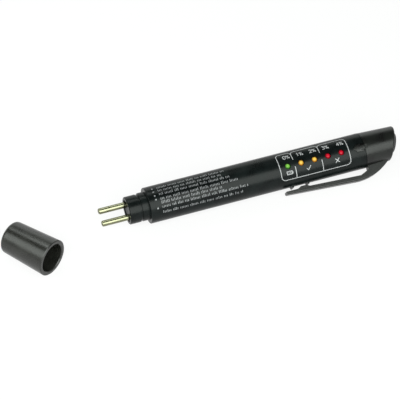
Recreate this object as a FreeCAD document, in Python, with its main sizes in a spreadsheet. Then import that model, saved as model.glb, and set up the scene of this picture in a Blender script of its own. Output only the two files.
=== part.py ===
import FreeCAD, Part
import math
import os
import Sketcher
from FreeCAD import Placement, Rotation, Vector
from types import SimpleNamespace

# Brake fluid tester pen: two probes at the front, five lamps on a percent scale along the barrel,
# a pull-off rear cover with a pocket clip and a push button, and a push-on cap lying beside it.
# Millimetres. The pen's axis is X, with the probes towards -X. The origin is on that axis,
# in the middle of the plain stretch of the nose spigot. The pen lies on its barrel and its clip.

# Driving sizes. Places along the pen are measured from the shoulder behind the nose spigot.
SIZES = {
    # barrel and nose
    "barrel_length": 118.5,
    "barrel_wall": 1.5,
    "bore_room": 2.5,
    "edge_break": 0.35,
    "spigot_radius": 7.3,
    "spigot_length": 10.7,
    "spigot_wall": 1.5,
    "front_wall": 2.0,
    "groove_place": 3.6,
    "groove_width": 1.2,
    "groove_depth": 0.7,
    "lug_length": 2.4,
    "lug_height": 0.3,
    "lug_angle": 92,
    "lug_turn": 60,
    "ridge_setback": 41.3,
    "ridge_pitch": 8.6,
    "ridge_height": 0.85,
    "ridge_foot": 1.7,
    "ridge_top": 0.8,
    "ridge_width": 5.0,
    "seat_gap": 0.05,
    # probes
    "probe_radius": 1.6,
    "probe_reach": 25.2,
    "probe_spacing": 6.65,
    "probe_tip": 1.0,
    "probe_collar_radius": 2.1,
    "probe_collar_length": 1.2,
    "probe_tail_radius": 0.6,
    "probe_tail_length": 3.0,
    "holder_recess": 0.6,
    "holder_flange": 2.5,
    "lead_radius": 0.65,
    # lamps
    "led_setback": 42.7,
    "led_pitch": 7.45,
    "led_radius": 1.5,
    "led_flange_radius": 1.85,
    "led_flange_height": 0.6,
    "led_proud": 0.25,
    "led_gap": 0.15,
    # cell and its carrier
    "cell_radius": 5.25,
    "cell_length": 44.5,
    "cell_edge": 0.5,
    "nub_radius": 1.9,
    "nub_length": 1.0,
    "bay_gap": 0.25,
    "bay_skin": 0.35,
    "cell_recess": 1.0,
    "carrier_end_wall": 2.0,
    "contact_thickness": 0.5,
    "contact_radius": 4.6,
    # circuit board
    "board_setback": 70.5,
    "board_thickness": 0.8,
    "board_gap": 0.15,
    "chip_length": 5.0,
    "chip_width": 4.0,
    "chip_gap": 0.19,
    "chip_setback": 52.0,
    "resistor_length": 1.6,
    "resistor_width": 0.8,
    "resistor_height": 0.5,
    "resistor_inset": 2.6,
    # rear cover
    "seam_gap": 0.25,
    "cover_step": 0.1,
    "cover_taper": 0.8,
    "cover_length": 20.1,
    "cover_slant": 20,
    "cover_end": 17.3,
    "cover_rim_round": 1.1,
    "sleeve_length": 8.0,
    "sleeve_gap": 0.15,
    "sleeve_wall": 1.2,
    "tongue_width": 3.9,
    "tongue_stem": 2.2,
    "tongue_length": 6.4,
    "tongue_head": 4.4,
    "tongue_point": 2.3,
    "tongue_gap": 0.25,
    # pocket clip, measured outwards from the barrel and forwards from the seam
    "clip_width": 4.6,
    "clip_edge": 0.7,
    "clip_tip_setback": 45.5,
    "clip_tip_rise": 3.6,
    "clip_crest_setback": 8.5,
    "clip_crest_rise": 5.9,
    "clip_bend": 28.0,
    "clip_root_drop": 3.3,
    "clip_thickness": 2.4,
    "clip_tip_thickness": 1.5,
    "clip_hump_setback": 35.7,
    "clip_hump_length": 3.0,
    "clip_hump_slope": 1.8,
    "clip_hump_gap": 0.3,
    "clip_throat": 5.0,
    "clip_throat_rise": 1.5,
    "clip_throat_step": 0.6,
    "clip_root_sink": 1.4,
    "clip_root_back": 1.5,
    # push button and its contacts
    "button_radius": 5.3,
    "button_gap": 0.1,
    "button_proud": 1.8,
    "button_round": 1.5,
    "button_travel": 1.0,
    "button_flange_gap": 0.45,
    "button_flange_length": 2.0,
    "end_wall": 2.6,
    "button_stem_radius": 4.6,
    "ring_thickness": 0.5,
    "ring_wall": 0.3,
    "ring_bore": 4.0,
    "disc_thickness": 0.5,
    "disc_gap": 1.45,
    "spring_room": 8.4,
    "spring_radius": 3.1,
    "spring_wire": 0.6,
    "spring_turns": 4,
    "strip_width": 3.0,
    "strip_thickness": 0.3,
    "strip_sink": 0.2,
    "strip_foot": 1.5,
    # cap
    "cap_length": 27.5,
    "cap_mouth_over": 0.3,
    "cap_taper": 1.2,
    "cap_end_round": 2.0,
    "cap_gap": 0.35,
    "cap_socket": 11.4,
    "cap_step": 0.9,
    "cap_end_wall": 1.7,
    "cap_mouth_chamfer": 0.4,
    "cap_mouth_x": -56.1,
    "cap_mouth_y": -18.45,
    "cap_turn": -54.7,
}


class Size:
    """A size as a number and as the expression over the sheet that gives it."""

    def __init__(self, value, text):
        self.value = value
        self.text = text

    def __add__(self, other):
        other = size(other)
        return Size(self.value + other.value, f"({self.text} + {other.text})")

    def __sub__(self, other):
        other = size(other)
        return Size(self.value - other.value, f"({self.text} - {other.text})")

    def __mul__(self, other):
        other = size(other)
        return Size(self.value * other.value, f"({self.text} * {other.text})")

    def __truediv__(self, other):
        other = size(other)
        return Size(self.value / other.value, f"({self.text} / {other.text})")

    def __radd__(self, other):
        return size(other) + self

    def __rsub__(self, other):
        return size(other) - self

    def __rmul__(self, other):
        return size(other) * self

    def __neg__(self):
        return Size(-self.value, f"(0 - {self.text})")

    def root(self):
        return Size(math.sqrt(self.value), f"sqrt({self.text})")

    def tangent(self):
        return Size(math.tan(math.radians(self.value)), f"tan({self.text} * 1 deg)")


def size(number):
    """A bare number as a size, such as the zero of an axis."""
    if isinstance(number, Size):
        return number
    return Size(float(number), f"({number})")


def chord(radius, height):
    """Half the width of a circle at a height above its centre."""
    return (radius * radius - height * height).root()


doc = FreeCAD.newDocument("brake_fluid_tester")
sheet = doc.addObject("Spreadsheet::Sheet", "sizes")
for row, (name, number) in enumerate(SIZES.items(), start=1):
    sheet.set(f"A{row}", name)
    sheet.set(f"B{row}", str(number))
    sheet.setAlias(f"B{row}", name)
doc.recompute()
d = SimpleNamespace(**{name: Size(float(number), f"sizes.{name}") for name, number in SIZES.items()})
sub_parts = []


# Shared places along the pen and out from its axis
bay = d.cell_radius + d.bay_gap
bore = bay + d.bore_room
barrel_radius = bore + d.barrel_wall
spigot_bore = d.spigot_radius - d.spigot_wall
holder_rear = d.front_wall + d.holder_flange
probe_tail_start = holder_rear + d.probe_collar_length
probe_end = probe_tail_start + d.probe_tail_length
sleeve_front = d.barrel_length - d.sleeve_length
sleeve_radius = bore - d.sleeve_gap
cavity = sleeve_radius - d.sleeve_wall
cover_front = d.barrel_length + d.seam_gap
cover_rear = cover_front + d.cover_length
cover_end_centre = cover_front + d.cover_end
button_seat = cover_end_centre - d.end_wall - d.cover_slant.tangent() * d.button_radius
led_first = d.barrel_length - d.led_setback
ridge_place = d.barrel_length - d.ridge_setback
board_front = d.barrel_length - d.board_setback
chip_place = d.barrel_length - d.chip_setback
flange_front = button_seat - d.seat_gap - d.button_flange_length
carrier_rear = sleeve_front - d.strip_thickness - 2 * d.seat_gap
cell_rear = carrier_rear - d.cell_recess
disc_front = cell_rear + d.spring_room
bay_front = cell_rear - d.cell_length - d.contact_thickness - 2 * d.seat_gap
carrier_front = bay_front - d.carrier_end_wall
board_bottom = bay + d.bay_skin
board_top = board_bottom + d.board_thickness
carrier_radius = bore - 2 * d.seat_gap
board_half = chord(carrier_radius, board_top) - d.board_gap
strip_seat = carrier_radius - d.strip_sink - d.strip_thickness
chip_height = chord(bore - d.chip_gap, d.chip_width / 2) - board_top
clip_tip_place = d.barrel_length - d.clip_tip_setback
clip_hump_place = d.barrel_length - d.clip_hump_setback
clip_crest_place = d.barrel_length - d.clip_crest_setback
clip_tip_out = barrel_radius + d.clip_tip_rise
clip_crest_out = barrel_radius + d.clip_crest_rise
clip_root_out = barrel_radius - d.clip_root_drop
clip_inner_crest = clip_crest_out - d.clip_thickness
clip_inner_tip = clip_tip_out - d.clip_tip_thickness
hump_out = barrel_radius + d.ridge_height + d.clip_hump_gap
cap_mouth_radius = barrel_radius + d.cap_mouth_over
cap_end_radius = cap_mouth_radius - d.cap_taper
cap_bore = d.spigot_radius + d.cap_gap

# The pen lies on its barrel and on the rounded lower edge of the clip's crest: its roll about X
edge_out = clip_crest_out.value - d.clip_edge.value
edge_side = d.clip_width.value / 2 - d.clip_edge.value
edge_drop = barrel_radius.value - d.clip_edge.value
roll = math.asin(edge_drop / math.hypot(edge_out, edge_side)) - math.atan2(edge_side, edge_out)
spigot_middle = (d.spigot_length - d.edge_break + d.groove_place + d.groove_width) / 2
PEN = Placement(Vector(spigot_middle.value, 0, 0), Rotation(Vector(1, 0, 0), math.degrees(roll)))

# The cap lies on its tapered side, mouth raised by the taper
taper = math.atan2(cap_mouth_radius.value - cap_end_radius.value, d.cap_length.value)
cap_height = cap_mouth_radius.value * math.cos(taper) - barrel_radius.value
cap_mouth = Vector(d.cap_mouth_x.value + spigot_middle.value, d.cap_mouth_y.value, cap_height)
CAP = Placement(cap_mouth, Rotation(d.cap_turn.value, -math.degrees(taper), 0))


def new_body(name):
    """An empty body for one sub-part, labelled with the sub-part's name."""
    body = doc.addObject("PartDesign::Body", name)
    body.Label = name
    sub_parts.append(body)
    return body


def sketch_on(body, name, role="XY_Plane", lift=None):
    """A sketch on one of the body's own origin planes, lifted along the plane's normal."""
    sketch = body.newObject("Sketcher::SketchObject", f"{body.Name}_{name}_sketch")
    plane = [feature for feature in body.Origin.OriginFeatures if feature.Role == role][0]
    sketch.AttachmentSupport = [(plane, "")]
    sketch.MapMode = "FlatFace"
    if lift is not None:
        sketch.setExpression("AttachmentOffset.Base.z", lift.text)
    return sketch


def bind(sketch, constraints, expressions):
    """Add constraints, and tie those that carry a size to its expression."""
    first = sketch.ConstraintCount
    sketch.addConstraint(constraints)
    for place, text in expressions:
        sketch.setExpression(f"Constraints[{first + place}]", text)


def turn_arc(start, end, radius, left):
    """An arc from start to end with its centre to the left or right of the way it goes."""
    across = end - start
    half = across.Length / 2
    side = Vector(-across.y, across.x, 0).normalize() * (1 if left else -1)
    centre = (start + end) * 0.5 + side * math.sqrt(max(radius * radius - half * half, 0))
    first, last = (start, end) if left else (end, start)
    angles = [math.atan2(point.y - centre.y, point.x - centre.x) for point in (first, last)]
    return Part.ArcOfCircle(Part.Circle(centre, Vector(0, 0, 1), radius), *angles)


def outline(sketch, points):
    """A closed outline. A point is (x, y), or (x, y, radius, "left" or "right") to leave on an arc."""
    sizes = [(size(point[0]), size(point[1])) for point in points]
    corners = [Vector(x.value, y.value, 0) for x, y in sizes]
    first = sketch.GeometryCount
    count = len(points)
    geometry = []
    ends = []
    for place, point in enumerate(points):
        start = corners[place]
        end = corners[(place + 1) % count]
        if len(point) == 2:
            geometry.append(Part.LineSegment(start, end))
            ends.append((1, 2))
        else:
            left = point[3] == "left"
            geometry.append(turn_arc(start, end, point[2].value, left))
            ends.append((1, 2) if left else (2, 1))
    sketch.addGeometry(geometry)
    constraints = []
    expressions = []
    for place, point in enumerate(points):
        after = (place + 1) % count
        here = first + place
        meeting = (here, ends[place][1], first + after, ends[after][0])
        constraints.append(Sketcher.Constraint("Coincident", *meeting))
        for kind, measure in zip(("DistanceX", "DistanceY"), sizes[place]):
            expressions.append((len(constraints), measure.text))
            constraints.append(Sketcher.Constraint(kind, -1, 1, here, ends[place][0], measure.value))
        if len(point) > 2:
            expressions.append((len(constraints), point[2].text))
            constraints.append(Sketcher.Constraint("Radius", here, point[2].value))
    bind(sketch, constraints, expressions)


def circle(sketch, x, y, radius):
    """A circle about (x, y)."""
    x, y = size(x), size(y)
    place = sketch.addGeometry(Part.Circle(Vector(x.value, y.value, 0), Vector(0, 0, 1), radius.value))
    bind(
        sketch,
        [
            Sketcher.Constraint("DistanceX", -1, 1, place, 3, x.value),
            Sketcher.Constraint("DistanceY", -1, 1, place, 3, y.value),
            Sketcher.Constraint("Radius", place, radius.value),
        ],
        [(0, x.text), (1, y.text), (2, radius.text)],
    )


def rectangle(x0, y0, x1, y1):
    """The four corners of an outline between two opposite ones."""
    return [(x0, y0), (x1, y0), (x1, y1), (x0, y1)]


def revolve(body, name, points, angle=None, turn=None, kind="PartDesign::Revolution"):
    """A profile of (place along the axis, radius) turned all round, or to both sides of a turn."""
    sketch = sketch_on(body, name)
    outline(sketch, points)
    if turn is not None:
        sketch.AttachmentOffset = Placement(Vector(), Rotation(Vector(1, 0, 0), turn.value))
        sketch.setExpression("AttachmentOffset.Rotation.Angle", turn.text)
    feature = body.newObject(kind, f"{body.Name}_{name}")
    feature.Profile = sketch
    feature.ReferenceAxis = (sketch, ["H_Axis"])
    feature.Angle = 360
    if angle is not None:
        feature.setExpression("Angle", angle.text)
        feature.Midplane = True
    return feature


def pad(body, name, role, draw, length, lift=None, middle=False):
    """A sketch drawn by a function, raised by a length along its plane's normal."""
    sketch = sketch_on(body, name, role, lift)
    draw(sketch)
    feature = body.newObject("PartDesign::Pad", f"{body.Name}_{name}")
    feature.Profile = sketch
    feature.setExpression("Length", length.text)
    feature.Midplane = middle
    return feature


def cut(body, name, role, draw, length=None, lift=None, middle=False, forward=False):
    """A sketch cut backwards through the body, or forwards along its plane's normal."""
    sketch = sketch_on(body, name, role, lift)
    draw(sketch)
    feature = body.newObject("PartDesign::Pocket", f"{body.Name}_{name}")
    feature.Profile = sketch
    feature.Reversed = forward
    feature.Midplane = middle
    if length is None:
        feature.Type = "ThroughAll"
    else:
        feature.setExpression("Length", length.text)
    return feature


def round_edges(body, name, radius, chosen):
    """Round the edges of the body so far that a test picks."""
    doc.recompute()
    base = body.Tip
    names = [f"Edge{place}" for place, edge in enumerate(base.Shape.Edges, start=1) if chosen(edge)]
    feature = body.newObject("PartDesign::Fillet", f"{body.Name}_{name}")
    feature.Base = (base, names)
    feature.setExpression("Radius", radius.text)
    return feature


def repeat(body, name, feature, step, count):
    """Copies of a feature in a row along the pen."""
    pattern = body.newObject("PartDesign::LinearPattern", f"{body.Name}_{name}")
    pattern.Originals = [feature]
    axis = [item for item in body.Origin.OriginFeatures if item.Role == "X_Axis"][0]
    pattern.Direction = (axis, [""])
    pattern.setExpression("Length", (step * (count - 1)).text)
    pattern.Occurrences = count
    body.Tip = pattern
    return pattern


# Barrel: a tube with a stepped nose, lamp holes, ridges under the clip and a notch for the cover's tongue
LAMPS = ["led_green", "led_amber_1", "led_amber_2", "led_red_1", "led_red_2"]


def make_barrel():
    body = new_body("barrel")
    groove_rear = -d.groove_place
    groove_front = -(d.groove_place + d.groove_width)
    groove_floor = d.spigot_radius - d.groove_depth
    front = -d.spigot_length
    revolve(body, "tube", [
        (front, spigot_bore),
        (front, d.spigot_radius - d.edge_break),
        (front + d.edge_break, d.spigot_radius),
        (groove_front, d.spigot_radius),
        (groove_front, groove_floor),
        (groove_rear, groove_floor),
        (groove_rear, d.spigot_radius),
        (0, d.spigot_radius),
        (0, barrel_radius - d.edge_break, d.edge_break, "right"),
        (d.edge_break, barrel_radius),
        (d.barrel_length, barrel_radius),
        (d.barrel_length, bore),
        (d.front_wall, bore),
        (d.front_wall, spigot_bore),
    ])
    revolve(body, "lug", rectangle(
        groove_rear, groove_floor, groove_rear + d.lug_length, d.spigot_radius + d.lug_height),
        d.lug_angle, d.lug_turn)
    hole = cut(body, "lamp_hole", "XY_Plane",
               lambda sketch: circle(sketch, led_first, 0, d.led_radius + d.led_gap), forward=True)
    repeat(body, "lamp_holes", hole, d.led_pitch, len(LAMPS))
    ridge_base = bore + d.barrel_wall / 2
    ridge_crest = barrel_radius + d.ridge_height
    ridge = pad(body, "ridge", "XY_Plane", lambda sketch: outline(sketch, [
        (ridge_place - d.ridge_foot / 2, -ridge_base),
        (ridge_place - d.ridge_top / 2, -ridge_crest),
        (ridge_place + d.ridge_top / 2, -ridge_crest),
        (ridge_place + d.ridge_foot / 2, -ridge_base),
    ]), d.ridge_width, middle=True)
    repeat(body, "ridges", ridge, d.ridge_pitch, 2)
    side = d.tongue_width / 2 + d.tongue_gap
    point = d.barrel_length - d.tongue_length - d.tongue_gap
    cut(body, "notch", "XY_Plane", lambda sketch: outline(sketch, [
        (d.barrel_length + d.seam_gap, -side),
        (d.barrel_length + d.seam_gap, side),
        (point + d.tongue_point, side),
        (point, 0),
        (point + d.tongue_point, -side),
    ]), forward=True)
    body.Placement = PEN


def make_probe_holder():
    body = new_body("probe_holder")
    revolve(body, "plug", [
        (d.holder_recess - d.spigot_length, 0),
        (d.holder_recess - d.spigot_length, spigot_bore - d.seat_gap),
        (d.front_wall + d.seat_gap, spigot_bore - d.seat_gap),
        (d.front_wall + d.seat_gap, bore - d.seat_gap),
        (holder_rear, bore - d.seat_gap),
        (holder_rear, 0),
    ])

    def probe_holes(sketch):
        for side in (-0.5, 0.5):
            circle(sketch, side * d.probe_spacing, 0, d.probe_radius + d.seat_gap)

    cut(body, "holes", "YZ_Plane", probe_holes, middle=True)
    body.Placement = PEN


def make_probe(name, side):
    body = new_body(name)
    revolve(body, "rod", [
        (-d.probe_reach, 0),
        (-d.probe_reach, d.probe_radius - d.probe_tip, d.probe_tip, "right"),
        (d.probe_tip - d.probe_reach, d.probe_radius),
        (holder_rear, d.probe_radius),
        (holder_rear, d.probe_collar_radius),
        (probe_tail_start, d.probe_collar_radius),
        (probe_tail_start, d.probe_tail_radius),
        (probe_end, d.probe_tail_radius),
        (probe_end, 0),
    ])
    body.Placement = PEN.multiply(Placement(Vector(0, side * d.probe_spacing.value / 2, 0), Rotation()))


def make_lamp(name, number):
    """A short round lamp on the board whose dome stands just proud of the barrel."""
    body = new_body(name)
    top = barrel_radius + d.led_proud
    neck = board_top + d.led_flange_height
    sketch = sketch_on(body, "lens", "XZ_Plane")
    outline(sketch, [
        (0, board_top),
        (d.led_flange_radius, board_top),
        (d.led_flange_radius, neck),
        (d.led_radius, neck),
        (d.led_radius, top - d.led_radius, d.led_radius, "left"),
        (0, top),
    ])
    lens = body.newObject("PartDesign::Revolution", f"{name}_lens")
    lens.Profile = sketch
    lens.ReferenceAxis = (sketch, ["V_Axis"])
    lens.Angle = 360
    place = led_first + d.led_pitch * number
    body.Placement = PEN.multiply(Placement(Vector(place.value, 0, 0), Rotation()))


def make_carrier():
    body = new_body("board_carrier")
    width = chord(carrier_radius, board_bottom)
    length = carrier_rear - carrier_front

    def section(sketch):
        outline(sketch, [
            (-width, board_bottom, carrier_radius, "left"),
            (0, -carrier_radius, carrier_radius, "left"),
            (width, board_bottom),
        ])

    pad(body, "cradle", "YZ_Plane", section, length, lift=carrier_front)
    cut(body, "bay", "YZ_Plane", lambda sketch: circle(sketch, 0, 0, bay), lift=bay_front, forward=True)
    slot = d.strip_width + 2 * d.seat_gap
    cut(body, "strip_slot", "XZ_Plane", lambda sketch: outline(sketch, rectangle(
        bay_front, -slot / 2, carrier_rear + d.bay_gap, slot / 2)),
        d.strip_thickness + d.strip_sink + d.bay_gap, lift=strip_seat, forward=True)
    body.Placement = PEN


def make_cell():
    can_front = bay_front + d.contact_thickness + 2 * d.seat_gap + d.nub_length
    body = new_body("battery_cell")
    revolve(body, "can", [
        (can_front, 0),
        (can_front, d.cell_radius - d.cell_edge),
        (can_front + d.cell_edge, d.cell_radius),
        (cell_rear - d.cell_edge, d.cell_radius),
        (cell_rear, d.cell_radius - d.cell_edge),
        (cell_rear, 0),
    ])
    body.Placement = PEN
    nub = new_body("battery_positive_cap")
    revolve(nub, "nub", [
        (can_front - d.nub_length, 0),
        (can_front - d.nub_length, d.nub_radius),
        (can_front, d.nub_radius),
        (can_front, 0),
    ])
    nub.Placement = PEN


def make_front_contact():
    body = new_body("battery_front_contact")
    revolve(body, "plate", [
        (bay_front, 0),
        (bay_front, d.contact_radius),
        (bay_front + d.contact_thickness, d.contact_radius),
        (bay_front + d.contact_thickness, 0),
    ])
    body.Placement = PEN


def make_contact_strip():
    """The flat strip that brings the cell's other pole along the carrier."""
    body = new_body("contact_strip")
    pad(body, "strip", "XZ_Plane", lambda sketch: outline(sketch, rectangle(
        bay_front + d.seat_gap, -d.strip_width / 2, carrier_rear + d.strip_thickness, d.strip_width / 2)),
        d.strip_thickness, lift=strip_seat)
    pad(body, "foot", "XZ_Plane", lambda sketch: outline(sketch, rectangle(
        carrier_rear, -d.strip_width / 2, carrier_rear + d.strip_thickness, d.strip_width / 2)),
        d.strip_foot + d.strip_thickness, lift=strip_seat - d.strip_foot)
    body.Placement = PEN


def make_board():
    body = new_body("circuit_board")
    pad(body, "plate", "XY_Plane", lambda sketch: outline(sketch, rectangle(
        board_front, -board_half, carrier_rear, board_half)), d.board_thickness, lift=board_bottom)
    body.Placement = PEN


def make_chip():
    body = new_body("control_chip")
    pad(body, "package", "XY_Plane", lambda sketch: outline(sketch, rectangle(
        chip_place - d.chip_length / 2, -d.chip_width / 2,
        chip_place + d.chip_length / 2, d.chip_width / 2)), chip_height, lift=board_top)
    body.Placement = PEN


def make_resistors():
    """One resistor between each two lamps, as a group of separate small blocks."""
    group = doc.addObject("Part::Compound", "chip_resistors")
    group.Label = "chip_resistors"
    sub_parts.append(group)
    blocks = []
    for number in range(len(LAMPS) - 1):
        block = doc.addObject("Part::Box", f"resistor_{number + 1}")
        middle = led_first + d.led_pitch * (number + 0.5)
        block.setExpression("Length", d.resistor_length.text)
        block.setExpression("Width", d.resistor_width.text)
        block.setExpression("Height", d.resistor_height.text)
        corner = Vector((middle - d.resistor_length / 2).value, d.resistor_inset.value, board_top.value)
        block.Placement = Placement(corner, Rotation())
        blocks.append(block)
    group.Links = blocks
    group.Placement = PEN


def tube(points, radius):
    """A round wire along straight runs and arcs: each item is a point, or a middle and an end of an arc."""
    edges = []
    start = points[0]
    for item in points[1:]:
        if isinstance(item, tuple):
            edges.append(Part.Arc(start, *item).toShape())
            start = item[1]
        else:
            edges.append(Part.LineSegment(start, item).toShape())
            start = item
    path = Part.Wire(edges)
    heading = edges[0].tangentAt(edges[0].FirstParameter)
    section = Part.Wire(Part.Circle(points[0], heading, radius).toShape())
    shell = Part.BRepOffsetAPI.MakePipeShell(path)
    shell.add(section)
    shell.build()
    shell.makeSolid()
    return shell.shape()


def plain_feature(name, shape, placement):
    feature = doc.addObject("Part::Feature", name)
    feature.Label = name
    feature.Shape = shape
    feature.Placement = placement
    sub_parts.append(feature)


def bend(start, corner, end, reach):
    """A tangent arc at a corner of a route, as its first, middle and last point."""
    before = (start - corner).normalize()
    after = (end - corner).normalize()
    first = corner + before * reach
    last = corner + after * reach
    half = math.acos(before.dot(after)) / 2
    inward = (before + after).normalize()
    middle = corner + inward * (reach / math.cos(half) - reach * math.tan(half))
    return first, middle, last


def make_probe_lead(name, side):
    """An insulated wire from a probe's tail up to the underside of the board, in two even bends."""
    y = side * d.probe_spacing.value / 2
    rise = (board_bottom - d.lead_radius - d.seat_gap).value
    start = Vector(probe_end.value, y, 0)
    finish = Vector(board_front.value + 8 * d.lead_radius.value, y, rise)
    run = (finish.x - start.x) / 3
    low = start + Vector(run, 0, 0)
    high = finish - Vector(run, 0, 0)
    reach = 0.45 * min(run, (high - low).Length)
    first = bend(start, low, high, reach)
    second = bend(low, high, finish, reach)
    shape = tube([start, first[0], first[1:], second[0], second[1:], finish], d.lead_radius.value)
    plain_feature(name, shape, PEN)


def biarc(start, heading, end, end_heading):
    """Two tangent arcs from start to end, as the items that a tube takes."""
    across = end - start
    both = heading + end_heading
    bow = 2 * (1 - heading.dot(end_heading))
    lean = across.dot(both)
    reach = (math.sqrt(lean * lean + bow * across.dot(across)) - lean) / bow
    near = start + heading * reach
    far = end - end_heading * reach
    joint = (near + far) * 0.5

    def middle(first, control, last):
        turn = (control - first).getAngle(last - control)
        weight = math.cos(turn / 2)
        return (first + control * (2 * weight) + last) * (1 / (2 + 2 * weight))

    return [(middle(start, near, joint), joint), (middle(joint, far, end), end)]


def make_spring():
    """The coil that presses on the cell: quarter turns of a helix as biarcs."""
    quarters = round(d.spring_turns.value * 4)
    wire = d.spring_wire.value
    clear = wire / 2 + d.seat_gap.value
    start_x = cell_rear.value + clear
    pitch = (d.spring_room.value - 2 * clear) / d.spring_turns.value
    radius = d.spring_radius.value

    def place(turn):
        angle = 2 * math.pi * turn
        return Vector(start_x + pitch * turn, radius * math.cos(angle), radius * math.sin(angle))

    def heading(turn):
        angle = 2 * math.pi * turn
        along = Vector(pitch / (2 * math.pi), -radius * math.sin(angle), radius * math.cos(angle))
        return along.normalize()

    items = [place(0)]
    for quarter in range(quarters):
        a, b = quarter / 4, (quarter + 1) / 4
        items += biarc(place(a), heading(a), place(b), heading(b))
    shape = tube(items, wire / 2)
    samples = [place(step / 64) for step in range(round(64 * d.spring_turns.value) + 1)]
    pairs = [(i, j) for i in range(len(samples)) for j in range(i + 40, len(samples))]
    gap = min((samples[i] - samples[j]).Length for i, j in pairs)
    print(f"battery_spring: least gap to itself {gap - wire:.2f} mm")
    plain_feature("battery_spring", shape, PEN)


def make_rear_cover():
    body = new_body("rear_cover")
    start_radius = barrel_radius - d.cover_step
    hole = d.button_radius + d.button_gap
    beyond = cover_rear + d.cover_rim_round
    revolve(body, "shell", [
        (sleeve_front, cavity),
        (sleeve_front, sleeve_radius - d.edge_break),
        (sleeve_front + d.edge_break, sleeve_radius),
        (cover_front, sleeve_radius),
        (cover_front, start_radius),
        (beyond, start_radius - d.cover_taper * (beyond - cover_front) / d.cover_length),
        (beyond, hole),
        (button_seat, hole),
        (button_seat, cavity),
    ])
    lean = d.cover_slant.tangent()
    wide = 2 * barrel_radius
    cut(body, "slant", "XY_Plane", lambda sketch: outline(sketch, [
        (cover_end_centre - lean * wide, -wide),
        (cover_end_centre + lean * wide, wide),
        (cover_end_centre + lean * wide + wide, wide),
        (cover_end_centre + lean * wide + wide, -wide),
    ]), middle=True)
    slope = math.tan(math.radians(d.cover_slant.value))

    def on_outer_rim(edge):
        spots = [edge.valueAt(edge.FirstParameter), edge.valueAt(edge.LastParameter)]
        spots.append(edge.valueAt((edge.FirstParameter + edge.LastParameter) / 2))
        flat = all(abs(spot.x - cover_end_centre.value - slope * spot.y) < 0.01 for spot in spots)
        return flat and all(math.hypot(spot.y, spot.z) > hole.value + 1 for spot in spots)

    round_edges(body, "rim", d.cover_rim_round, on_outer_rim)
    point = d.barrel_length - d.tongue_length
    neck = point + d.tongue_head
    pad(body, "tongue", "XY_Plane", lambda sketch: outline(sketch, [
        (cover_front + d.sleeve_wall, -d.tongue_stem / 2),
        (cover_front + d.sleeve_wall, d.tongue_stem / 2),
        (neck, d.tongue_stem / 2),
        (neck, d.tongue_width / 2),
        (point + d.tongue_point, d.tongue_width / 2),
        (point, 0),
        (point + d.tongue_point, -d.tongue_width / 2),
        (neck, -d.tongue_width / 2),
        (neck, -d.tongue_stem / 2),
    ]), d.barrel_wall + d.sleeve_gap + d.sleeve_wall, lift=sleeve_radius - d.sleeve_wall / 2)
    revolve(body, "tongue_crown", rectangle(
        sleeve_front, start_radius, cover_front - d.seat_gap, start_radius + 2 * d.barrel_wall),
        kind="PartDesign::Groove")
    root_depth = start_radius - d.clip_root_sink
    root_end = cover_end_centre - lean * clip_root_out
    throat_place = cover_front + d.clip_throat_step
    pad(body, "clip", "XY_Plane", lambda sketch: outline(sketch, [
        (clip_tip_place, -clip_inner_tip),
        (clip_tip_place, -clip_tip_out),
        (clip_crest_place, -clip_crest_out, d.clip_bend, "left"),
        (root_end, -clip_root_out),
        (root_end - d.clip_root_back, -root_depth),
        (throat_place, -root_depth),
        (throat_place, -start_radius - d.clip_throat_rise),
        (throat_place - d.clip_throat, -clip_inner_crest),
        (clip_hump_place + d.clip_hump_length / 2 + d.clip_hump_slope, -clip_inner_tip),
        (clip_hump_place + d.clip_hump_length / 2, -hump_out),
        (clip_hump_place - d.clip_hump_length / 2, -hump_out),
        (clip_hump_place - d.clip_hump_length / 2 - d.clip_hump_slope, -clip_inner_tip),
    ]), d.clip_width, middle=True)
    half = d.clip_width.value / 2
    lean_out = (clip_crest_out - clip_tip_out).value / (clip_crest_place - clip_tip_place).value

    def on_clip_back(edge):
        spots = [edge.valueAt(edge.FirstParameter), edge.valueAt(edge.LastParameter)]
        if any(abs(abs(spot.z) - half) > 0.01 for spot in spots):
            return False
        if isinstance(edge.Curve, Part.Circle):
            return abs(edge.Curve.Radius - d.clip_bend.value) < 0.01
        backs = [-clip_tip_out.value - lean_out * (spot.x - clip_tip_place.value) for spot in spots]
        return all(abs(spot.y - back) < 0.01 for spot, back in zip(spots, backs))

    round_edges(body, "clip_edges", d.clip_edge, on_clip_back)
    body.Placement = PEN


def make_button():
    body = new_body("push_button")
    top = cover_end_centre + d.button_proud
    beyond = top + d.cover_slant.tangent() * d.button_radius + d.button_round
    revolve(body, "plunger", [
        (disc_front + d.disc_thickness, 0),
        (disc_front + d.disc_thickness, d.button_stem_radius),
        (flange_front, d.button_stem_radius),
        (flange_front, cavity - d.button_flange_gap),
        (flange_front + d.button_flange_length, cavity - d.button_flange_gap),
        (flange_front + d.button_flange_length, d.button_radius),
        (beyond, d.button_radius),
        (beyond, 0),
    ])
    lean = d.cover_slant.tangent()
    wide = 2 * d.button_radius
    cut(body, "slant", "XY_Plane", lambda sketch: outline(sketch, [
        (top - lean * wide, -wide),
        (top + lean * wide, wide),
        (top + lean * wide + wide, wide),
        (top + lean * wide + wide, -wide),
    ]), middle=True)
    slope = math.tan(math.radians(d.cover_slant.value))

    def on_crown(edge):
        spots = [edge.valueAt(edge.FirstParameter)]
        spots.append(edge.valueAt((edge.FirstParameter + edge.LastParameter) / 2))
        return all(abs(spot.x - top.value - slope * spot.y) < 0.01 for spot in spots)

    round_edges(body, "crown", d.button_round, on_crown)
    body.Placement = PEN
    disc = new_body("button_contact")
    revolve(disc, "disc", [
        (disc_front, 0),
        (disc_front, cavity - d.disc_gap),
        (disc_front + d.disc_thickness, cavity - d.disc_gap),
        (disc_front + d.disc_thickness, 0),
    ])
    disc.Placement = PEN


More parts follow.
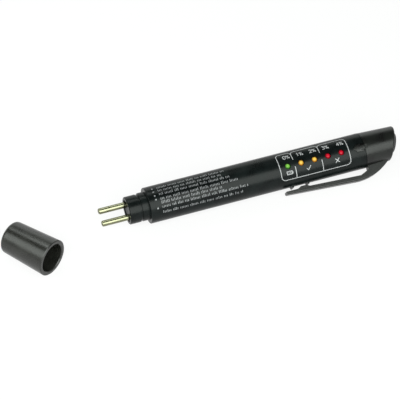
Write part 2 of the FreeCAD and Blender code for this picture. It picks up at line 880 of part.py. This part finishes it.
def make_contact_ring():
    """The flanged ring in the sleeve that the button's disc meets at the end of its travel."""
    body = new_body("contact_ring")
    rear = disc_front - d.button_travel - d.seat_gap
    outside = cavity - d.seat_gap
    revolve(body, "ring", [
        (sleeve_front, outside - d.ring_wall),
        (sleeve_front, outside),
        (rear, outside),
        (rear, d.ring_bore),
        (rear - d.ring_thickness, d.ring_bore),
        (rear - d.ring_thickness, outside - d.ring_wall),
    ])
    body.Placement = PEN


def make_cap():
    body = new_body("cap")
    step_bore = cap_bore - d.cap_step
    revolve(body, "thimble", [
        (0, cap_bore + d.cap_mouth_chamfer),
        (0, cap_mouth_radius - d.edge_break),
        (-d.edge_break, cap_mouth_radius),
        (-d.cap_length, cap_end_radius),
        (-d.cap_length, 0),
        (d.cap_end_wall - d.cap_length, 0),
        (d.cap_end_wall - d.cap_length, step_bore),
        (-d.cap_socket, step_bore),
        (-d.cap_socket, cap_bore),
        (-d.cap_mouth_chamfer, cap_bore),
    ])

    def on_end(edge):
        spot = edge.valueAt(edge.FirstParameter)
        return abs(spot.x + d.cap_length.value) < 0.01 and math.hypot(spot.y, spot.z) > 1

    round_edges(body, "end", d.cap_end_round, on_end)
    body.Placement = CAP


make_barrel()
make_probe_holder()
for probe, probe_side in (("probe_upper", 1), ("probe_lower", -1)):
    make_probe(probe, probe_side)
for lead, lead_side in (("probe_lead_upper", 1), ("probe_lead_lower", -1)):
    make_probe_lead(lead, lead_side)
for lamp_number, lamp in enumerate(LAMPS):
    make_lamp(lamp, lamp_number)
make_carrier()
make_cell()
make_front_contact()
make_contact_strip()
make_board()
make_chip()
make_resistors()
make_spring()
make_rear_cover()
make_button()
make_contact_ring()
make_cap()

doc.recompute()
for item in doc.Objects:
    if "Invalid" in item.State or "Error" in item.State:
        raise RuntimeError(f"{item.Name} failed: {item.State}")
for part in sub_parts:
    if part.Shape.isNull() or not part.Shape.isValid():
        raise RuntimeError(f"{part.Label} has no valid shape")
os.makedirs("parts", exist_ok=True)
for part in sub_parts:
    part.Shape.exportStep(os.path.join("parts", f"{part.Label}.step"))
    print(part.Label, len(part.Shape.Solids), round(part.Shape.Volume, 1))
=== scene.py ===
import math

import bpy
import numpy as np
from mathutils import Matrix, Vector


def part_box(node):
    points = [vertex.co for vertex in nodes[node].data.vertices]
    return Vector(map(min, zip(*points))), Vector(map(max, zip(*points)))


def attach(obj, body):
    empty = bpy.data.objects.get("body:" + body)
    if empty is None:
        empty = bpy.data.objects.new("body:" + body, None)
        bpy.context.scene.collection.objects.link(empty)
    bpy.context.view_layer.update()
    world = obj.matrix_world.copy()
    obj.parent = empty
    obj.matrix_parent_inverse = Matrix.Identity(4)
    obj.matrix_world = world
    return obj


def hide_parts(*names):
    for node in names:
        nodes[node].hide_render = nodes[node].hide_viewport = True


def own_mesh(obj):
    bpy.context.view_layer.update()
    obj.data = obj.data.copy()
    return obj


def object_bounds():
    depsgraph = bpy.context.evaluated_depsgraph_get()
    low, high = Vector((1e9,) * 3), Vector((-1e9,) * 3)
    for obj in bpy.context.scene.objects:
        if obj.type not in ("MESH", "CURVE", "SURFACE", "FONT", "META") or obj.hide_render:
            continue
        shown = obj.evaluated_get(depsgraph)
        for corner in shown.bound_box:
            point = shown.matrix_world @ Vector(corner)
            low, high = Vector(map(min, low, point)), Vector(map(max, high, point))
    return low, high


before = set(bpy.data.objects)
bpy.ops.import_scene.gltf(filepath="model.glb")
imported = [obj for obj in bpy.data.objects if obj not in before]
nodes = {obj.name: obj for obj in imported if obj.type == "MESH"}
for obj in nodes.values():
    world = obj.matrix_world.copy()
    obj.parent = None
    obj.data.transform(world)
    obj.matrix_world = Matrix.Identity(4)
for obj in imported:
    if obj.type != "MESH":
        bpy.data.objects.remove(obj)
cad_low, cad_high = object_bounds()

MM = 0.001
WHITE = (1.0, 1.0, 1.0, 1.0)
LAMPS = ("led_green", "led_amber_1", "led_amber_2", "led_red_1", "led_red_2")


# Places taken from the pen itself: the lamps give the barrel's roll and the place of its print

def box_middle(node):
    """The middle of a node's box, in metres."""
    low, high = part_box(node)
    return (np.array(low) + np.array(high)) / 2.0


LAMP_BEHIND_SHOULDER = 75.8
first_lamp = box_middle(LAMPS[0]) / MM
ROLL = math.atan2(-first_lamp[1], first_lamp[2])
ROUND_ROW = (0.0, -math.cos(ROLL), -math.sin(ROLL))
SHOULDER = first_lamp[0] - LAMP_BEHIND_SHOULDER
BARREL_RADIUS = round(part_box("barrel")[1][2] / MM, 2)
FLOOR_HEIGHT = cad_low[2]


# Tools for the materials

class Term:
    """One output socket of a tree of nodes, with arithmetic on it."""

    def __init__(self, graph, socket):
        self.graph = graph
        self.socket = socket

    def combine(self, operation, first, second):
        """One Math node on two values."""
        settings = {"operation": operation}
        return self.graph.node("ShaderNodeMath", settings, {0: first, 1: second})

    def __add__(self, other):
        return self.combine("ADD", self, other)

    def __radd__(self, other):
        return self.combine("ADD", other, self)

    def __mul__(self, other):
        return self.combine("MULTIPLY", self, other)

    def __rmul__(self, other):
        return self.combine("MULTIPLY", other, self)

    def __truediv__(self, other):
        return self.combine("DIVIDE", self, other)

    def __rtruediv__(self, other):
        return self.combine("DIVIDE", other, self)


NOISE_LOW = 0.35
NOISE_HIGH = 0.65


class Graph:
    """A tree of nodes, which grows by one node at a time."""

    def __init__(self, tree):
        self.tree = tree

    def node(self, kind, settings=None, inputs=None, output=0):
        """Adds one node, sets it up, links or fills its inputs, and returns an output."""
        made = self.tree.nodes.new(kind)
        for name, value in (settings or {}).items():
            if name == "stops":
                for stop, colour in zip(made.color_ramp.elements, value):
                    stop.color = (*colour, 1.0)
            else:
                setattr(made, name, value)
        for name, value in (inputs or {}).items():
            self.feed(made.inputs[name], value)
        return Term(self, made.outputs[output])

    def feed(self, socket, value):
        """Links a term to a socket, or sets the socket to a plain value."""
        if isinstance(value, Term):
            self.tree.links.new(value.socket, socket)
        else:
            socket.default_value = value

    def spread(self, value, low, high, start=NOISE_LOW, end=NOISE_HIGH):
        """The value from start to end, spread from low to high."""
        inputs = {"Value": value, "From Min": start, "From Max": end, "To Min": low, "To Max": high}
        return self.node("ShaderNodeMapRange", None, inputs)


class Look(Graph):
    """A procedural material: a Principled shader and the nodes that feed it."""

    def __init__(self, name, **constants):
        self.material = bpy.data.materials.new(name)
        self.material.use_nodes = True
        super().__init__(self.material.node_tree)
        self.shader = self.tree.nodes["Principled BSDF"]
        self.drive(**constants)

    def drive(self, **values):
        """Feeds the shader's own sockets."""
        for name, value in values.items():
            self.feed(self.shader.inputs[name.replace("_", " ")], value)

    def place(self):
        """The point on the piece, in its own coordinates."""
        return self.node("ShaderNodeTexCoord", output="Object")

    def noise(self, scale, detail, stretch=(1.0, 1.0, 1.0)):
        """Noise of that many cells to the metre, stretched along the axes."""
        mapped = self.node("ShaderNodeMapping", None, {"Vector": self.place(), "Scale": stretch})
        return self.node("ShaderNodeTexNoise", None, {"Vector": mapped, "Scale": scale, "Detail": detail})

    def blend(self, factor, first, second):
        """The first colour where the factor is 0, the second where it is 1."""
        return self.node("ShaderNodeValToRGB", {"stops": (first, second)}, {0: factor})

    def bump(self, height, strength, distance):
        """Small bumps of that depth, as high as the given value."""
        inputs = {"Height": height, "Strength": strength, "Distance": distance}
        self.drive(Normal=self.node("ShaderNodeBump", None, inputs))


# Moulded plastics, print and rubber

BLOTCH_SCALE = 140.0
BLOTCH_DETAIL = 4.0
BLOTCH_SHARE = 0.6
GRAIN_DETAIL = 2.0
GRAIN_DEPTH = 0.00002


def moulded(name, dark, light, smooth, rough, grain, strength, **constants):
    """Moulded plastic: soft blotches in colour and gloss, and a fine grain."""
    look = Look(name, **constants)
    blotch = look.noise(BLOTCH_SCALE, BLOTCH_DETAIL)
    fine = look.noise(grain, GRAIN_DETAIL)
    look.drive(Base_Color=look.blend(look.spread(blotch, 0.0, 1.0), dark, light))
    gloss = blotch * BLOTCH_SHARE + fine * (1.0 - BLOTCH_SHARE)
    look.drive(Roughness=look.spread(gloss, smooth, rough))
    look.bump(fine, strength, GRAIN_DEPTH)
    return look.material


black_satin = moulded(
    "black_satin", dark=(0.002, 0.003, 0.003), light=(0.004, 0.006, 0.006),
    smooth=0.24, rough=0.34, grain=2600.0, strength=0.10, Specular_IOR_Level=0.15)
black_cover = moulded(
    "black_cover", dark=(0.003, 0.003, 0.003), light=(0.006, 0.007, 0.006),
    smooth=0.26, rough=0.36, grain=2200.0, strength=0.14, Specular_IOR_Level=0.36)
black_cap = moulded(
    "black_cap", dark=(0.007, 0.007, 0.006), light=(0.013, 0.013, 0.011),
    smooth=0.24, rough=0.34, grain=1800.0, strength=0.12, Specular_IOR_Level=0.5)
black_button = moulded(
    "black_button", dark=(0.006, 0.006, 0.006), light=(0.012, 0.012, 0.012),
    smooth=0.40, rough=0.55, grain=2600.0, strength=0.25)
insulator = moulded(
    "insulator", dark=(0.020, 0.020, 0.021), light=(0.036, 0.036, 0.037),
    smooth=0.45, rough=0.62, grain=2400.0, strength=0.2)
carrier_plastic = moulded(
    "carrier_plastic", dark=(0.05, 0.05, 0.055), light=(0.09, 0.09, 0.095),
    smooth=0.45, rough=0.6, grain=1500.0, strength=0.2)
lead_rubber = moulded(
    "lead_rubber", dark=(0.30, 0.03, 0.025), light=(0.48, 0.06, 0.05),
    smooth=0.4, rough=0.55, grain=1800.0, strength=0.15)
laminate = moulded(
    "laminate", dark=(0.015, 0.13, 0.05), light=(0.03, 0.22, 0.08),
    smooth=0.25, rough=0.4, grain=900.0, strength=0.15)
resin = moulded(
    "resin", dark=(0.02, 0.02, 0.02), light=(0.045, 0.045, 0.045),
    smooth=0.4, rough=0.6, grain=3000.0, strength=0.2)
cell_sleeve = moulded(
    "cell_sleeve", dark=(0.55, 0.33, 0.06), light=(0.68, 0.44, 0.10),
    smooth=0.22, rough=0.34, grain=900.0, strength=0.05)
print_ink = moulded(
    "print_ink", dark=(0.26, 0.26, 0.27), light=(0.34, 0.34, 0.35),
    smooth=0.45, rough=0.6, grain=4000.0, strength=0.05)
tick_ink = moulded(
    "tick_ink", dark=(0.15, 0.15, 0.16), light=(0.22, 0.22, 0.23),
    smooth=0.45, rough=0.6, grain=4000.0, strength=0.05)


# Metals

ROUND_X = (1.0, 0.02, 0.02)
LINE_DETAIL = 2.0
LINE_STRENGTH = 0.04
LINE_DEPTH = 0.00001
LINE_SHARE = 0.5
TARNISH_SCALE = 260.0
TARNISH_DETAIL = 4.0


def metal(name, dark, light, smooth, rough, turns):
    """Plated metal: fine lines round the X axis, and a slight tarnish."""
    look = Look(name, Metallic=1.0)
    lines = look.noise(turns, LINE_DETAIL, ROUND_X)
    tarnish = look.noise(TARNISH_SCALE, TARNISH_DETAIL)
    look.drive(Base_Color=look.blend(look.spread(tarnish, 0.0, 1.0), dark, light))
    gloss = lines * LINE_SHARE + tarnish * (1.0 - LINE_SHARE)
    look.drive(Roughness=look.spread(gloss, smooth, rough))
    look.bump(lines, LINE_STRENGTH, LINE_DEPTH)
    return look.material


probe_metal = metal(
    "probe_metal", dark=(0.20, 0.20, 0.13), light=(0.26, 0.26, 0.17), smooth=0.16, rough=0.22, turns=5200.0)
contact_metal = metal(
    "contact_metal", dark=(0.62, 0.62, 0.60), light=(0.82, 0.82, 0.80), smooth=0.20, rough=0.34, turns=2600.0)
spring_steel = metal(
    "spring_steel", dark=(0.48, 0.48, 0.48), light=(0.70, 0.70, 0.70), smooth=0.22, rough=0.36, turns=1800.0)


# Lamp lenses

LENS_ROUGHNESS = 0.22
LENS_COAT = 0.05
LENS_SPECULAR = 0.12
CORE_REACH = 0.10
RIM_REACH = 0.80
RIM_EMITS = 0.10
CORE_EMITS = 0.28
SPECK_SCALE = 1500.0
SPECK_DETAIL = 3.0
SPECK_DIMS_TO = 0.85
LENS_COLOURS = {
    "led_green": ((0.012, 0.08, 0.006), (0.16, 0.38, 0.055)),
    "led_amber": ((0.28, 0.10, 0.006), (0.57, 0.38, 0.065)),
    "led_red": ((0.16, 0.002, 0.006), (0.39, 0.004, 0.017)),
}


def lamp(name, node, rim, core):
    """A dyed lamp lens: smooth, darker at its rim, with a bright spot in the middle."""
    look = Look(
        name, Roughness=LENS_ROUGHNESS, Coat_Weight=LENS_COAT, Specular_IOR_Level=LENS_SPECULAR,
        Emission_Strength=1.0)
    low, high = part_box(node)
    radius = (high[0] - low[0]) / 2.0
    from_middle = {0: look.place(), 1: tuple(box_middle(node))}
    offset = look.node("ShaderNodeVectorMath", {"operation": "SUBTRACT"}, from_middle)
    along = look.node("ShaderNodeSeparateXYZ", None, {0: offset}, "X")
    round_row = {0: offset, 1: ROUND_ROW}
    side = look.node("ShaderNodeVectorMath", {"operation": "DOT_PRODUCT"}, round_row, "Value")
    reach = look.node("ShaderNodeMath", {"operation": "SQRT"}, {0: along * along + side * side})
    glow = look.spread(reach / radius, 1.0, 0.0, CORE_REACH, RIM_REACH)
    speck = look.spread(look.noise(SPECK_SCALE, SPECK_DETAIL), SPECK_DIMS_TO, 1.0)
    look.drive(Base_Color=look.blend(glow * speck, rim, core))
    dim_rim = tuple(RIM_EMITS * part for part in rim)
    lit_core = tuple(CORE_EMITS * part for part in core)
    look.drive(Emission_Color=look.blend(glow, dim_rim, lit_core))
    return look.material


# Finishes of the solid pieces

FINISH = {
    "barrel": black_satin,
    "rear_cover": black_cover,
    "push_button": black_button,
    "cap": black_cap,
    "probe_holder": insulator,
    "probe_upper": probe_metal,
    "probe_lower": probe_metal,
    "probe_lead_upper": lead_rubber,
    "probe_lead_lower": lead_rubber,
    "board_carrier": carrier_plastic,
    "battery_cell": cell_sleeve,
    "battery_positive_cap": contact_metal,
    "battery_front_contact": contact_metal,
    "contact_strip": contact_metal,
    "button_contact": contact_metal,
    "contact_ring": contact_metal,
    "circuit_board": laminate,
    "control_chip": resin,
    "chip_resistors": resin,
}
for node in LAMPS:
    kind = "_".join(node.split("_")[:2])
    FINISH[node] = lamp(node + "_lens", node, *LENS_COLOURS[kind])
for node, finish in FINISH.items():
    slots = nodes[node].data.materials
    slots.clear()
    slots.append(finish)


# Tools for the pieces made here

def tube_faces(rings, sides):
    """Faces of a closed tube: quads from each ring of points to the next, all the way round, and its two
    ends. The points go ring by ring."""
    here = np.arange(rings - 1)[:, None] * sides
    there = here + sides
    side = np.arange(sides)[None, :]
    beside = (side + 1) % sides
    quads = np.stack([here + side, there + side, there + beside, here + beside], axis=-1)
    first_end = list(range(sides))
    last_end = [(rings - 1) * sides + corner for corner in reversed(first_end)]
    return quads.reshape(-1, 4).tolist() + [first_end, last_end]


def new_piece(name, points, faces, finish):
    """An object at the origin with that mesh and finish."""
    mesh = bpy.data.meshes.new(name)
    mesh.from_pydata(points, [], faces)
    mesh.materials.append(finish)
    piece = bpy.data.objects.new(name, mesh)
    bpy.context.scene.collection.objects.link(piece)
    return piece


# Print on the barrel, drawn on its unrolled surface in millimetres

INK_OVER = 0.03
INK_UNDER = -0.06
STEP_ROUND = 0.5
SHARPEST_MITRE = 0.5


def on_barrel(along, around, height):
    """Unrolled to barrel: along is millimetres behind the shoulder, around is millimetres of arc from the
    lamp row towards the clip, and the radius is the barrel's radius plus the height."""
    turn = ROLL + around / BARREL_RADIUS
    radius = BARREL_RADIUS + height
    points = np.stack([along + SHOULDER, -radius * np.sin(turn), radius * np.cos(turn)], axis=-1)
    return points * MM


def divided(path):
    """The path with each run cut into equal steps, none going further round the barrel than STEP_ROUND."""
    runs = np.diff(path, axis=0)
    counts = np.maximum(1, np.ceil(np.abs(runs[:, 1]) / STEP_ROUND)).astype(int)
    first = np.repeat(np.cumsum(counts) - counts, counts)
    share = (np.arange(counts.sum()) - first) / np.repeat(counts, counts)
    steps = np.repeat(path[:-1], counts, axis=0) + np.repeat(runs, counts, axis=0) * share[:, None]
    return np.vstack([steps, path[-1:]])


def unit(vectors):
    """Each row at length one."""
    return vectors / np.linalg.norm(vectors, axis=1, keepdims=True)


def strip(path, width):
    """A line of ink: at each path point the two edges stand half a width off along the mitre of the two runs
    that meet there, and each edge has a point over the surface and a point under it."""
    path = divided(np.asarray(path, float))
    runs = unit(np.diff(path, axis=0))
    ahead = np.vstack([runs, runs[-1:]])
    behind = np.vstack([runs[:1], runs])
    mitre = unit(ahead + behind)
    cosine = np.clip((mitre * ahead).sum(axis=1, keepdims=True), SHARPEST_MITRE, 1.0)
    normal = np.stack([-mitre[:, 1], mitre[:, 0]], axis=1) * (width / 2.0) / cosine
    left = path + normal
    right = path - normal
    ring = [
        on_barrel(left[:, 0], left[:, 1], INK_UNDER),
        on_barrel(left[:, 0], left[:, 1], INK_OVER),
        on_barrel(right[:, 0], right[:, 1], INK_OVER),
        on_barrel(right[:, 0], right[:, 1], INK_UNDER),
    ]
    points = np.stack(ring, axis=1).reshape(-1, 3)
    return points.tolist(), tube_faces(len(path), len(ring))


def ink(name, strips, finish):
    """One printed piece out of many strips, riding on the pen."""
    points = []
    faces = []
    for strip_points, strip_faces in strips:
        faces += [[len(points) + number for number in face] for face in strip_faces]
        points += strip_points
    piece = new_piece(name, points, faces, finish)
    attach(piece, "pen")


def arc_of(degrees):
    """Millimetres of arc on the barrel for an angle in degrees."""
    return math.radians(degrees) * BARREL_RADIUS


# Lines round the lamp groups

PANEL_START = 71.3
PANEL_END = 109.7
PANEL_TOP = arc_of(-49.0)
PANEL_BOTTOM = arc_of(46.0)
PANEL_CORNER = 2.2
PANEL_LINE = 0.38
CORNER_POINTS = 7
DIVIDERS = (79.5, 94.3)
DIVIDER_TOP_END = arc_of(-15.0)
DIVIDER_LOW_START = arc_of(8.0)


def corner(middle, start, end):
    """Points round a quarter turn of the panel's corner radius, in degrees from the along axis."""
    turn = np.radians(np.linspace(start, end, CORNER_POINTS))
    return np.asarray(middle) + PANEL_CORNER * np.stack([np.cos(turn), np.sin(turn)], axis=1)


def arch(start, end):
    """The top of one lamp group, from its left side over to its right, with a quarter turn at each corner."""
    spring_line = PANEL_TOP + PANEL_CORNER
    left = corner((start + PANEL_CORNER, spring_line), 180.0, 270.0)
    right = corner((end - PANEL_CORNER, spring_line), 270.0, 360.0)
    return np.vstack([left, right])


first_divider, second_divider = DIVIDERS
foot_height = PANEL_BOTTOM - PANEL_CORNER
panel_path = np.vstack([
    [(first_divider, DIVIDER_TOP_END)],
    arch(PANEL_START, first_divider)[::-1],
    corner((PANEL_START + PANEL_CORNER, foot_height), 180.0, 90.0),
    corner((PANEL_END - PANEL_CORNER, foot_height), 90.0, 0.0),
    arch(second_divider, PANEL_END)[::-1],
    [(second_divider, DIVIDER_TOP_END)],
])
panel_strips = [strip(panel_path, PANEL_LINE), strip(arch(first_divider, second_divider), PANEL_LINE)]
for place in DIVIDERS:
    panel_strips.append(strip([(place, DIVIDER_LOW_START), (place, PANEL_BOTTOM)], PANEL_LINE))
ink("scale_panel_lines", panel_strips, print_ink)


# Numbers over the lamps and signs under them, in cells one unit high

NUMBER_HEIGHT = 2.1
NUMBER_LINE = 0.36
NUMBER_ROW = arc_of(-30.0)
NUMBER_PLACES = (76.4, 83.8, 91.0, 98.1, 106.2)
NUMBER_HALF_WIDTH = 0.76
DIGITS = (
    [(0.0, 0.2), (0.0, 0.8), (0.2, 1.0), (0.4, 1.0), (0.6, 0.8),
     (0.6, 0.2), (0.4, 0.0), (0.2, 0.0), (0.0, 0.2)],
    [(0.1, 0.75), (0.35, 1.0), (0.35, 0.0)],
    [(0.0, 0.8), (0.2, 1.0), (0.45, 1.0), (0.6, 0.8), (0.6, 0.6), (0.0, 0.0), (0.62, 0.0)],
    [(0.0, 1.0), (0.6, 1.0), (0.28, 0.6), (0.5, 0.55),
     (0.6, 0.35), (0.55, 0.1), (0.35, 0.0), (0.0, 0.05)],
    [(0.45, 0.0), (0.45, 1.0), (0.0, 0.3), (0.65, 0.3)],
)
PERCENT_BAR = [(0.95, 0.0), (1.5, 1.0)]
PERCENT_UPPER = (0.97, 0.8)
PERCENT_LOWER = (1.51, 0.2)
PERCENT_RING = [
    (0.14, 0.0), (0.07, 0.13), (-0.07, 0.13), (-0.14, 0.0), (-0.07, -0.13), (0.07, -0.13), (0.14, 0.0)]

SIGN_ROW = arc_of(23.0)
SIGN_HEIGHT = 2.2
BATTERY_SIGN = [
    [(0.0, 0.1), (0.0, 0.8), (1.3, 0.8), (1.3, 0.1), (0.0, 0.1), (0.0, 0.4)],
    [(1.45, 0.3), (1.45, 0.6)],
    [(0.3, 0.45), (0.6, 0.45)],
    [(0.9, 0.3), (0.9, 0.6)],
]
TICK_SIGN = [[(0.0, 0.5), (0.4, 0.05), (1.1, 1.0)]]
CROSS_SIGN = [[(0.0, 0.0), (1.0, 1.0)], [(0.0, 1.0), (1.0, 0.0)]]
SIGN_PLACES = ((76.1, BATTERY_SIGN), (86.6, TICK_SIGN), (102.5, CROSS_SIGN))


def drawn(strokes, start, row, height):
    """Strokes set on the barrel at that height, centred on the row, with their foot towards the clip."""
    made = []
    foot = row + height / 2.0
    for stroke in strokes:
        points = np.asarray(stroke, float) * height
        made.append(strip(np.stack([start + points[:, 0], foot - points[:, 1]], axis=1), NUMBER_LINE))
    return made


def ring_at(middle):
    """The percent sign's small ring round that point."""
    return [(middle[0] + x, middle[1] + y) for x, y in PERCENT_RING]


percent_sign = [PERCENT_BAR, ring_at(PERCENT_UPPER), ring_at(PERCENT_LOWER)]
number_strips = []
for digit, place in zip(DIGITS, NUMBER_PLACES):
    start = place - NUMBER_HALF_WIDTH * NUMBER_HEIGHT
    number_strips += drawn([digit] + percent_sign, start, NUMBER_ROW, NUMBER_HEIGHT)
ink("scale_numbers", number_strips, print_ink)

sign_strips = []
for place, strokes in SIGN_PLACES:
    width = max(x for stroke in strokes for x, y in stroke) * SIGN_HEIGHT
    sign_strips += drawn(strokes, place - width / 2.0, SIGN_ROW, SIGN_HEIGHT)
ink("scale_signs", sign_strips, print_ink)


# Rows of ticks behind the nose, in short groups, with a dot in front of some

ROW_START = 6.4
ROW_ENDS = (43.3, 40.4, 44.5, 48.5, 39.3, 53.1, 49.6)
ROW_ANGLES = (-41.0, -27.0, -13.5, 1.5, 14.0, 27.5, 45.5)
ROW_FOOT = 0.5
ROW_SEED = 7
TICK_PITCH = 0.78
TICK_LINE = 0.28
TICK_LOW = 1.05
TICK_HIGH = 1.5
HIGH_SHARE = 0.25
GROUP_LEAST = 3
GROUP_MOST = 7
GROUP_GAP = 1.1
DOT_PLACE = 3.75
DOT_SIZE = 0.75
DOT_ROWS = (-41.0, -26.5, -12.0, 1.0, 29.0)

rng = np.random.default_rng(ROW_SEED)
row_strips = []
for end, angle in zip(ROW_ENDS, ROW_ANGLES):
    foot = arc_of(angle) + ROW_FOOT
    along = ROW_START
    while along < end:
        for _ in range(rng.integers(GROUP_LEAST, GROUP_MOST + 1)):
            if along > end:
                break
            height = TICK_HIGH if rng.random() < HIGH_SHARE else TICK_LOW
            row_strips.append(strip([(along, foot), (along, foot - height)], TICK_LINE))
            along += TICK_PITCH
        along += GROUP_GAP - TICK_PITCH / 2.0
for angle in DOT_ROWS:
    row = arc_of(angle)
    dot = [(DOT_PLACE, row - DOT_SIZE / 2.0), (DOT_PLACE, row + DOT_SIZE / 2.0)]
    row_strips.append(strip(dot, DOT_SIZE))
ink("tick_rows", row_strips, tick_ink)


# Battery spring, made here as a coil of round wire at one length that rides on the rear cover; the real
# spring shortens as the button goes in

COIL_TURNS = 4
COIL_WIRE = 0.6
COIL_STEPS = 48
COIL_SIDES = 12

coil_low, coil_high = (np.array(end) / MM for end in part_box("battery_spring"))


def coil_surface():
    """Round wire on a helix: the middle goes round the pen's axis as it moves along it, and each ring of
    points lies across the helix, on the outward direction and the direction square to it and the helix."""
    radius = (coil_high[1] - coil_low[1] - COIL_WIRE) / 2.0
    rise = coil_high[0] - coil_low[0] - COIL_WIRE
    share = np.linspace(0.0, 1.0, COIL_TURNS * COIL_STEPS + 1)
    turn = ROLL + 2.0 * math.pi * COIL_TURNS * share
    outward = np.stack([np.zeros_like(turn), np.cos(turn), np.sin(turn)], axis=1)
    middle = (coil_low + coil_high) / 2.0 + radius * outward
    middle[:, 0] = coil_low[0] + COIL_WIRE / 2.0 + rise * share
    sideways = np.stack([np.zeros_like(turn), -np.sin(turn), np.cos(turn)], axis=1)
    heading = 2.0 * math.pi * COIL_TURNS * radius * sideways
    heading[:, 0] = rise
    across = np.cross(unit(heading), outward)
    ring = np.linspace(0.0, -2.0 * math.pi, COIL_SIDES, endpoint=False)[None, :, None]
    offset = np.cos(ring) * outward[:, None, :] + np.sin(ring) * across[:, None, :]
    points = (middle[:, None, :] + COIL_WIRE / 2.0 * offset).reshape(-1, 3) * MM
    return points.tolist(), tube_faces(len(share), COIL_SIDES)


coil_points, coil_faces = coil_surface()
coil = new_piece("battery_coil", coil_points, coil_faces, spring_steel)
coil.data.polygons.foreach_set("use_smooth", [len(face) == 4 for face in coil_faces])
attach(coil, "rear_cover")
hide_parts("battery_spring")
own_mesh(coil)


# Floor and white walls

FLOOR_HALF = 3.0
FLOOR_GLOW = 0.86
FLOOR_COLOUR = (0.70, 0.70, 0.70, 1.0)
FLOOR_ROUGHNESS = 0.9
HORIZON_GLOW = 0.7
OVERHEAD_GLOW = 0.08
GLOW_FADES_AT = 0.5
WALLS_SEEN = 0.88


def floor_look():
    """Pale floor that camera, mirrored and refracted rays see near white, and that keeps the shadow."""
    look = Look("pale_floor", Base_Color=FLOOR_COLOUR, Roughness=FLOOR_ROUGHNESS)
    camera_ray = look.node("ShaderNodeLightPath", output="Is Camera Ray")
    glossy_ray = look.node("ShaderNodeLightPath", output="Is Glossy Ray")
    transmission_ray = look.node("ShaderNodeLightPath", output="Is Transmission Ray")
    share = FLOOR_GLOW * look.node("ShaderNodeClamp", None, {0: camera_ray + glossy_ray + transmission_ray})
    glow = look.node("ShaderNodeEmission", None, {"Color": WHITE, "Strength": 1.0})
    surface = Term(look, look.shader.outputs[0])
    both = look.node("ShaderNodeMixShader", None, {0: share, 1: surface, 2: glow})
    look.feed(look.tree.nodes["Material Output"].inputs["Surface"], both)
    return look.material


def studio_world():
    """White walls: bright at the horizon, fading to a dim ceiling with the height of the direction, and as
    pale as the floor where the camera sees them."""
    world = bpy.data.worlds.new("studio")
    world.use_nodes = True
    graph = Graph(world.node_tree)
    direction = graph.node("ShaderNodeTexCoord", output="Generated")
    height = graph.node("ShaderNodeSeparateXYZ", None, {0: direction}, "Z")
    background = world.node_tree.nodes["Background"]
    graph.feed(background.inputs["Color"], WHITE)
    lit = graph.spread(height, HORIZON_GLOW, OVERHEAD_GLOW, 0.0, GLOW_FADES_AT)
    camera_ray = graph.node("ShaderNodeLightPath", output="Is Camera Ray")
    strength = graph.spread(camera_ray, lit, WALLS_SEEN, 0.0, 1.0)
    graph.feed(background.inputs["Strength"], strength)
    return world


floor_sides = ((-1, -1), (1, -1), (1, 1), (-1, 1))
floor_corners = [(FLOOR_HALF * x, FLOOR_HALF * y, FLOOR_HEIGHT) for x, y in floor_sides]
floor = new_piece("floor", floor_corners, [(0, 1, 2, 3)], floor_look())
bpy.context.scene.world = studio_world()


# Light and camera, placed by azimuth and elevation in degrees and by distance in metres

TARGET = Vector((35.0, -5.22, 0.0)) * MM
NOSE = Vector((-20.0, -10.0, 0.0)) * MM
LIGHT_TINT = (0.94, 1.0, 0.95)
CAMERA_AZIMUTH = -19.24
CAMERA_ELEVATION = 47.65
CAMERA_DISTANCE = 1.25
CAMERA_LENS = 217.97
CAMERA_SENSOR = 36.0


def put_facing(thing, focus, azimuth, elevation, distance):
    """Puts a light or the camera at that distance from its focus, facing it."""
    turn = math.radians(azimuth)
    rise = math.radians(elevation)
    away = Vector((math.sin(turn) * math.cos(rise), -math.cos(turn) * math.cos(rise), math.sin(rise)))
    thing.location = focus + away * distance
    thing.rotation_euler = away.to_track_quat("Z", "Y").to_euler()
    bpy.context.scene.collection.objects.link(thing)


def softbox(name, focus, azimuth, elevation, distance, wide, high, watts):
    """A rectangular area light, with its size in metres."""
    data = bpy.data.lights.new(name, "AREA")
    data.shape = "RECTANGLE"
    data.size = wide
    data.size_y = high
    data.energy = watts
    data.color = LIGHT_TINT
    put_facing(bpy.data.objects.new(name, data), focus, azimuth, elevation, distance)


softbox("front_box", TARGET, azimuth=-10.0, elevation=43.0, distance=0.8, wide=1.3, high=0.81, watts=17.0)
softbox("back_box", NOSE, azimuth=180.0, elevation=57.0, distance=0.45, wide=0.28, high=0.12, watts=0.5)
softbox("left_box", NOSE, azimuth=-92.0, elevation=36.0, distance=0.6, wide=0.4, high=0.34, watts=1.5)
softbox("rear_fill", TARGET, azimuth=180.0, elevation=20.0, distance=0.9, wide=1.5, high=0.4, watts=2.2)

camera_data = bpy.data.cameras.new("camera")
camera_data.lens = CAMERA_LENS
camera_data.sensor_width = CAMERA_SENSOR
camera = bpy.data.objects.new("camera", camera_data)
put_facing(camera, TARGET, CAMERA_AZIMUTH, CAMERA_ELEVATION, CAMERA_DISTANCE)
bpy.context.scene.camera = camera
bpy.context.scene.view_settings.view_transform = "Standard"
